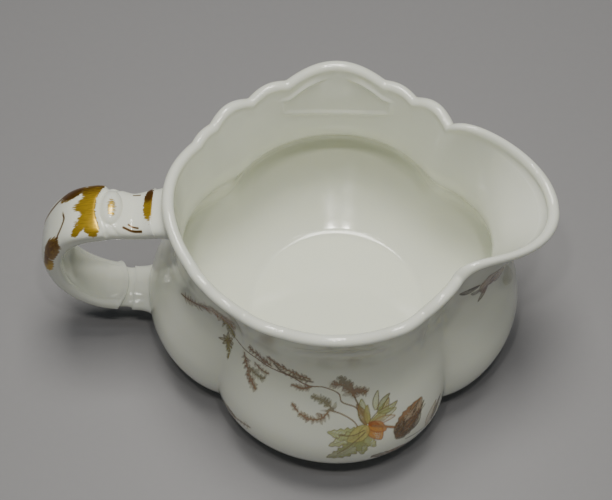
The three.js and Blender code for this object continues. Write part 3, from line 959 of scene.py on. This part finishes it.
def groove_print(face):
    sheet = Sheet((-71.0, -42.0), (37.0, 66.0), face)
    sprig = sheet.sprig
    sheet.stem([(-68.5, 50.4), (-63.0, 53.4), (-58.0, 56.6), (-51.6, 61.0), (-47.0, 57.0), (-42.0, 52.5)],
               0.6, BROWN, 0.85)
    sprig([(-67.5, 51.0), (-62.0, 54.0), (-56.0, 57.4), (-51.6, 61.5)], 26, 2.6, TWIG, 21)
    sprig([(-56.6, 57.4), (-51.0, 59.0), (-47.0, 57.4), (-42.6, 56.8)], 26, 3.4, RUST, 22, 0.8, 1.1)
    sprig([(-51.6, 62.0), (-46.6, 59.4), (-42.4, 59.6)], 18, 3.0, RUST, 23, 0.8, 1.1)
    sprig([(-48.0, 57.4), (-44.6, 54.4), (-42.4, 52.6)], 16, 2.8, OLIVE, 25, 0.8, 1.0)
    for turn in range(0, 360, 45):
        reach = 2.9 if turn % 90 else 3.8
        tip = (-44.5 + reach * math.cos(math.radians(turn + 12)),
               48.6 + reach * math.sin(math.radians(turn + 12)))
        sheet.leaf((-44.5, 48.6), tip, 1.1, OLIVE, 0.85, BROWN)
    sprig([(-44.0, 47.6), (-42.8, 45.4), (-42.2, 42.6)], 12, 2.0, OLIVE, 24, 0.75)
    return sheet


def lip_print(face):
    sheet = Sheet((50.0, 83.5), (30.0, 70.0), face)
    leaf = sheet.leaf
    leaf((60.2, 64.8), (52.2, 67.4), 3.2, DARK_LEAF, 0.95, DARK_LEAF, 0.08, 0.2)
    leaf((62.6, 59.0), (57.4, 62.4), 2.0, DARK_LEAF, 0.85, BROWN, 0.06)
    leaf((66.4, 58.0), (61.0, 53.4), 2.8, GREY_LEAF, 0.9, BROWN, 0.06, 0.4)
    leaf((62.2, 70.4), (69.6, 57.0), 6.4, BURNT_RED, 1.0, DARK_LEAF, 0.06, 0.5)
    leaf((63.8, 70.0), (64.6, 54.4), 8.0, BURNT_RED, 1.0, DARK_LEAF, 0.04, 0.5)
    leaf((60.4, 64.6), (68.6, 60.6), 4.6, ORANGE, 0.7, RED, 0.05, 0.4)
    leaf((64.6, 60.8), (74.8, 51.2), 5.4, BURNT_RED, 0.95, BROWN, 0.06, 0.4)
    leaf((70.4, 54.4), (80.0, 46.6), 5.0, PALE_PINK, 0.7, PINK, 0.1, 0.2)
    leaf((75.4, 45.6), (82.8, 36.6), 6.0, YELLOW, 0.2, None, 0.1)
    return sheet


def make_prints(material):
    for face, side in ((-1, "near"), (1, "far")):
        front_print(face).make(f"flower_print_{side}", material)
        groove_print(face).make(f"groove_print_{side}", material)
        lip_print(face).make(f"lip_print_{side}", material)


# ---- materials

class Shader:
    """Adds and joins the nodes of one material; spot is where a point lies on its piece."""

    def __init__(self, name):
        self.material = bpy.data.materials.new(name)
        self.material.use_nodes = True
        self.tree = self.material.node_tree
        self.surface = self.tree.nodes["Principled BSDF"]
        self.spot = self.node("ShaderNodeTexCoord").outputs["Object"]

    def node(self, kind, **inputs):
        made = self.tree.nodes.new(kind)
        for name, value in inputs.items():
            self.feed(made, name.replace("_", " "), value)
        return made

    def feed(self, node, name, value):
        """Sets or links one input, given by its name or its number."""
        socket = node.inputs[name]
        if isinstance(value, bpy.types.NodeSocket):
            self.tree.links.new(value, socket)
        else:
            socket.default_value = value

    def noise(self, vector, scale, detail, roughness=0.5):
        made = self.node("ShaderNodeTexNoise", Vector=vector, Scale=scale, Detail=detail,
                         Roughness=roughness)
        return made.outputs["Fac"]

    def ramp(self, value, low, high, out_low=0.0, out_high=1.0):
        made = self.node("ShaderNodeMapRange", Value=value, From_Min=low, From_Max=high,
                         To_Min=out_low, To_Max=out_high)
        made.interpolation_type = "SMOOTHSTEP"
        return made.outputs["Result"]

    def mix(self, factor, first, second):
        made = self.node("ShaderNodeMix")
        made.data_type = "RGBA"
        for socket, value in ((0, factor), (6, first), (7, second)):
            self.feed(made, socket, value)
        return made.outputs[2]

    def math(self, operation, *values):
        made = self.node("ShaderNodeMath")
        made.operation = operation
        for index, value in enumerate(values):
            self.feed(made, index, value)
        return made.outputs["Value"]

    def attribute(self, name):
        made = self.node("ShaderNodeAttribute")
        made.attribute_name = name
        return made

    def set(self, name, value):
        self.feed(self.surface, name, value)

    def bump(self, height, distance, normal=None):
        made = self.node("ShaderNodeBump", Height=height, Distance=distance, Strength=1.0)
        if normal is not None:
            self.feed(made, "Normal", normal)
        return made.outputs["Normal"]


WARM_WHITE = (0.885, 0.90, 0.78, 1)
COOL_WHITE = (0.86, 0.885, 0.785, 1)
GOLD = (0.68, 0.44, 0.03, 1)
OLD_GOLD = (0.17, 0.075, 0.012, 1)
BARE_PORCELAIN = (0.62, 0.59, 0.52, 1)
GLAZE_IOR = 1.52
GLAZE_ROUGHNESS = (0.07, 0.13)
COAT_WEIGHT = 0.35
COAT_ROUGHNESS = 0.03
WAVE_HEIGHT = 0.07 * MM           # slow waves in the glaze
PEEL_HEIGHT = 0.003 * MM          # its fine orange peel
SCATTER_WEIGHT = 0.3
SCATTER_COLOUR = (1.0, 0.95, 0.75)
SCATTER_DEPTH = 3 * MM
BRUSH_STRETCH = (0.5, 2.6, 1)     # how the bristle marks are drawn out along the strap
RAGGEDNESS = 1.8                  # how much the bristles break the edges of the gilding
MOTTLING = 1.6
GILT_ROUGHNESS = (0.09, 0.33)     # of the glaze beside the gilding, and of the gilding
GILT_METALLIC = 0.6
INK_OPACITY = (0.94, 0.76)        # where the print is fresh, and where it is worn
FOOT_ROUGHNESS = (0.12, 0.5)      # glazed, and bare
BARE_BAND = (0.6 * MM, 0.1 * MM)  # heights over which the foot goes from glazed to bare


def glaze(name):
    """Clear glossy glaze over white porcelain. The shader keeps its colour for others to mix."""
    shader = Shader(name)
    patchy = shader.noise(shader.spot, 55.0, 2.0)
    shader.colour = shader.mix(patchy, WARM_WHITE, COOL_WHITE)
    shader.set("Base Color", shader.colour)
    smear = shader.noise(shader.spot, 120.0, 4.0)
    shader.set("Roughness", shader.ramp(smear, 0.3, 0.7, *GLAZE_ROUGHNESS))
    waves = shader.noise(shader.spot, 75.0, 1.0)
    peel = shader.noise(shader.spot, 900.0, 2.0)
    shader.set("Normal", shader.bump(peel, PEEL_HEIGHT, shader.bump(waves, WAVE_HEIGHT)))
    shader.set("IOR", GLAZE_IOR)
    shader.set("Subsurface Weight", SCATTER_WEIGHT)
    shader.set("Subsurface Radius", SCATTER_COLOUR)
    shader.set("Subsurface Scale", SCATTER_DEPTH)
    shader.set("Coat Weight", COAT_WEIGHT)
    shader.set("Coat Roughness", COAT_ROUGHNESS)
    return shader


def printed_glaze():
    """Ink under the same glaze: a worn transfer, clear wherever nothing is printed."""
    shader = glaze("printed_glaze")
    printed = shader.mix(1.0, shader.colour, shader.attribute("ink").outputs["Color"])
    printed.node.blend_type = "MULTIPLY"
    shader.set("Base Color", printed)
    shader.set("Subsurface Weight", 0.0)
    grain = shader.noise(shader.spot, 1500.0, 3.0)
    wear = shader.ramp(grain, 0.3, 0.75, *INK_OPACITY)
    shader.set("Alpha", shader.math("MULTIPLY", shader.attribute("ink_cover").outputs["Fac"], wear))
    return shader


def gilded_glaze():
    """The glaze of the handle, with brushed and rubbed gilding where its attributes say."""
    shader = glaze("gilded_glaze")
    stretch = shader.node("ShaderNodeVectorMath", Vector=shader.attribute("brush").outputs["Vector"])
    stretch.operation = "MULTIPLY"
    shader.feed(stretch, 1, BRUSH_STRETCH)
    bristles = shader.noise(stretch.outputs["Vector"], 1.0, 5.0, 0.65)
    gilding = shader.attribute("gilding").outputs["Fac"]
    ragged = shader.math("MULTIPLY_ADD", bristles, RAGGEDNESS, gilding)
    patches = shader.ramp(ragged, 1.3, 1.5)
    gilt = shader.math("MAXIMUM", patches, shader.attribute("gilt_lines").outputs["Fac"])
    rubbed = shader.attribute("rubbed").outputs["Fac"]
    tone = shader.ramp(shader.math("MULTIPLY_ADD", bristles, MOTTLING, rubbed), 0.55, 1.7)
    shader.set("Base Color", shader.mix(gilt, shader.colour, shader.mix(tone, GOLD, OLD_GOLD)))
    shader.set("Metallic", shader.ramp(gilt, 0.0, 1.0, 0.0, GILT_METALLIC))
    shader.set("Roughness", shader.ramp(gilt, 0.0, 1.0, *GILT_ROUGHNESS))
    return shader


def foot_glaze():
    """Thin glaze on the foot, wiped back to satin bare porcelain where it stands."""
    shader = glaze("foot_glaze")
    height = shader.node("ShaderNodeSeparateXYZ", Vector=shader.spot).outputs["Z"]
    bare = shader.ramp(height, *BARE_BAND)
    shader.set("Base Color", shader.mix(bare, shader.colour, BARE_PORCELAIN))
    shader.set("Roughness", shader.ramp(bare, 0.0, 1.0, *FOOT_ROUGHNESS))
    return shader


# ---- stage

FLOOR_COLOUR = (0.30, 0.294, 0.302, 1)
FLOOR_SIZE = 5.0


def make_floor():
    half = FLOOR_SIZE / 2
    mesh = bpy.data.meshes.new("floor")
    corners = [(-half, -half, 0), (half, -half, 0), (half, half, 0), (-half, half, 0)]
    mesh.from_pydata(corners, [], [(0, 1, 2, 3)])
    shader = Shader("floor")
    grain = shader.noise(shader.spot, 400.0, 3.0)
    darker = tuple(channel * 0.96 for channel in FLOOR_COLOUR[:3]) + (1,)
    shader.set("Base Color", shader.mix(grain, darker, FLOOR_COLOUR))
    shader.set("Roughness", 0.55)
    mesh.materials.append(shader.material)
    floor = bpy.data.objects.new("floor", mesh)
    bpy.context.scene.collection.objects.link(floor)


def area_light(name, at, towards, size, power, colour):
    data = bpy.data.lights.new(name, "AREA")
    data.shape = "RECTANGLE"
    data.size, data.size_y = size
    data.energy = power
    data.color = colour
    light = bpy.data.objects.new(name, data)
    bpy.context.scene.collection.objects.link(light)
    light.location = at
    light.rotation_euler = (Vector(towards) - Vector(at)).to_track_quat("-Z", "Y").to_euler()


# each light: its place in metres from the foot's axis, its size, its power in watts and its colour
LIGHTS = (
    ("left_key", (-0.045, -0.17, 0.55), (0.022, 0.022), 0.33, (1, 0.97, 0.91)),
    ("right_key", (0.027, -0.17, 0.55), (0.022, 0.022), 0.33, (1, 0.97, 0.91)),
    ("back_light", (-0.01, 0.07, 0.62), (0.22, 0.22), 2.6, (1, 0.98, 0.92)),
    ("strip", (0.0, -0.25, 1.5), (1.2, 0.02), 1.8, (0.95, 0.98, 1)),
)
LIT_HEIGHT = 0.04                 # the height on the foot's axis that every light points at
SKY_COLOUR = (0.70, 0.86, 1, 1)
SKY_STRENGTH = 0.045


def make_lights():
    middle = (FOOT_AXIS_X, 0, LIT_HEIGHT)
    for name, (across, back, up), size, power, colour in LIGHTS:
        area_light(name, (FOOT_AXIS_X + across, back, up), middle, size, power, colour)
    world = bpy.data.worlds.new("studio")
    bpy.context.scene.world = world
    world.use_nodes = True
    world.node_tree.nodes["Background"].inputs["Color"].default_value = SKY_COLOUR
    world.node_tree.nodes["Background"].inputs["Strength"].default_value = SKY_STRENGTH


# ---- the jug

make_camera()
make_floor()
make_lights()
PORCELAIN = glaze("glazed_porcelain").material
make_body(PORCELAIN)
make_foot(foot_glaze().material)
make_handle(gilded_glaze().material)
make_joint("upper_joint", "upper_luting_joint", PORCELAIN, UPPER_JOINT_ROW, UPPER_JOINT_FLARE)
make_joint("lower_joint", "lower_luting_joint", PORCELAIN, LOWER_JOINT_ROW, LOWER_JOINT_FLARE)
make_prints(printed_glaze().material)
